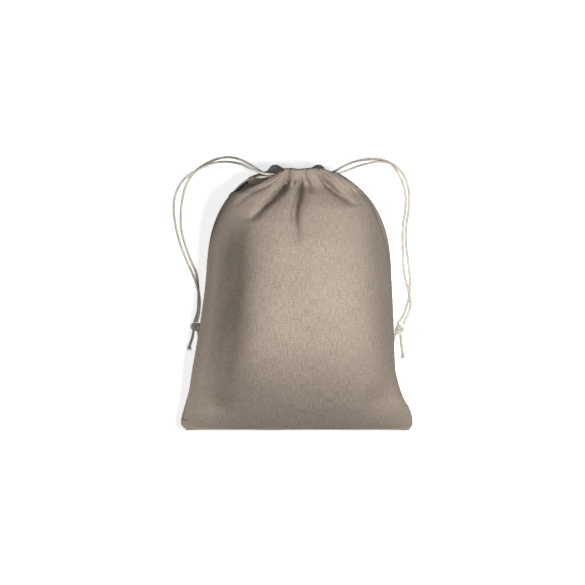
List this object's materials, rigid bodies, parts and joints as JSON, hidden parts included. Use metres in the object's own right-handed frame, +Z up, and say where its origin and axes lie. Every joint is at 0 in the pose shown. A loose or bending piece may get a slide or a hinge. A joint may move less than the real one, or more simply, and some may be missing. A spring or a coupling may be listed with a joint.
{
  "type": "fabric gift sack",
  "caption": "Plump linen-cotton gift sack with a gathered mouth, a casing on each face and knotted cords drawn out at both sides.",
  "frame": {"origin": "on the table, under the middle of the filled sack without its cords", "axes": "+X across the sack to its right side seen from above with the mouth away, +Y from the bottom seam to the mouth, +Z up from the table through the back to the front"},
  "size_m": [0.2537, 0.2887, 0.1],
  "materials": {
    "linen": "plain-weave natural linen-cotton with slubs",
    "thread": "matt spun sewing thread",
    "cotton_cord": "three-ply twisted unbleached cotton"
  },
  "bodies": {
    "sack": {"front_panel": "linen", "back_panel": "linen", "left_side_seam": "linen", "right_side_seam": "linen", "bottom_seam": "linen", "left_seam_thread": "thread", "right_seam_thread": "thread", "bottom_seam_thread": "thread", "left_slit_tack": "thread", "right_slit_tack": "thread", "left_cord_return": "cotton_cord", "right_cord_return": "cotton_cord"},
    "front_hem": {"front_casing": "linen", "front_casing_thread": "thread", "front_left_slit_hem": "linen", "front_right_slit_hem": "linen"},
    "back_hem": {"back_casing": "linen", "back_casing_thread": "thread", "back_left_slit_hem": "linen", "back_right_slit_hem": "linen"},
    "left_cord": {"left_cord_front_strand": "cotton_cord", "left_cord_back_strand": "cotton_cord", "left_knot": "cotton_cord", "left_tail_front": "cotton_cord", "left_tail_back": "cotton_cord"},
    "right_cord": {"right_cord_front_strand": "cotton_cord", "right_cord_back_strand": "cotton_cord", "right_knot": "cotton_cord", "right_tail_front": "cotton_cord", "right_tail_back": "cotton_cord"}
  },
  "joints": [
    {"name": "left_cord_draw", "type": "slide", "parent": "sack", "child": "left_cord", "axis": [-1, 0, 0], "range_m": [-0.004, 0.02], "deforming": ["left_cord_return"]},
    {"name": "right_cord_draw", "type": "slide", "parent": "sack", "child": "right_cord", "axis": [1, 0, 0], "range_m": [-0.004, 0.02], "deforming": ["right_cord_return"]},
    {"name": "front_hem_close", "type": "slide", "parent": "sack", "child": "front_hem", "axis": [0, 0, -1], "range_m": [-0.0007, 0.0035]},
    {"name": "back_hem_close", "type": "slide", "parent": "sack", "child": "back_hem", "axis": [0, 0, 1], "range_m": [-0.0007, 0.0035]}
  ],
  "couplings": [
    {"joint": "right_cord_draw", "follows": "left_cord_draw", "ratio": 1},
    {"joint": "front_hem_close", "follows": "left_cord_draw", "ratio": 0.175},
    {"joint": "back_hem_close", "follows": "left_cord_draw", "ratio": 0.175}
  ]
}
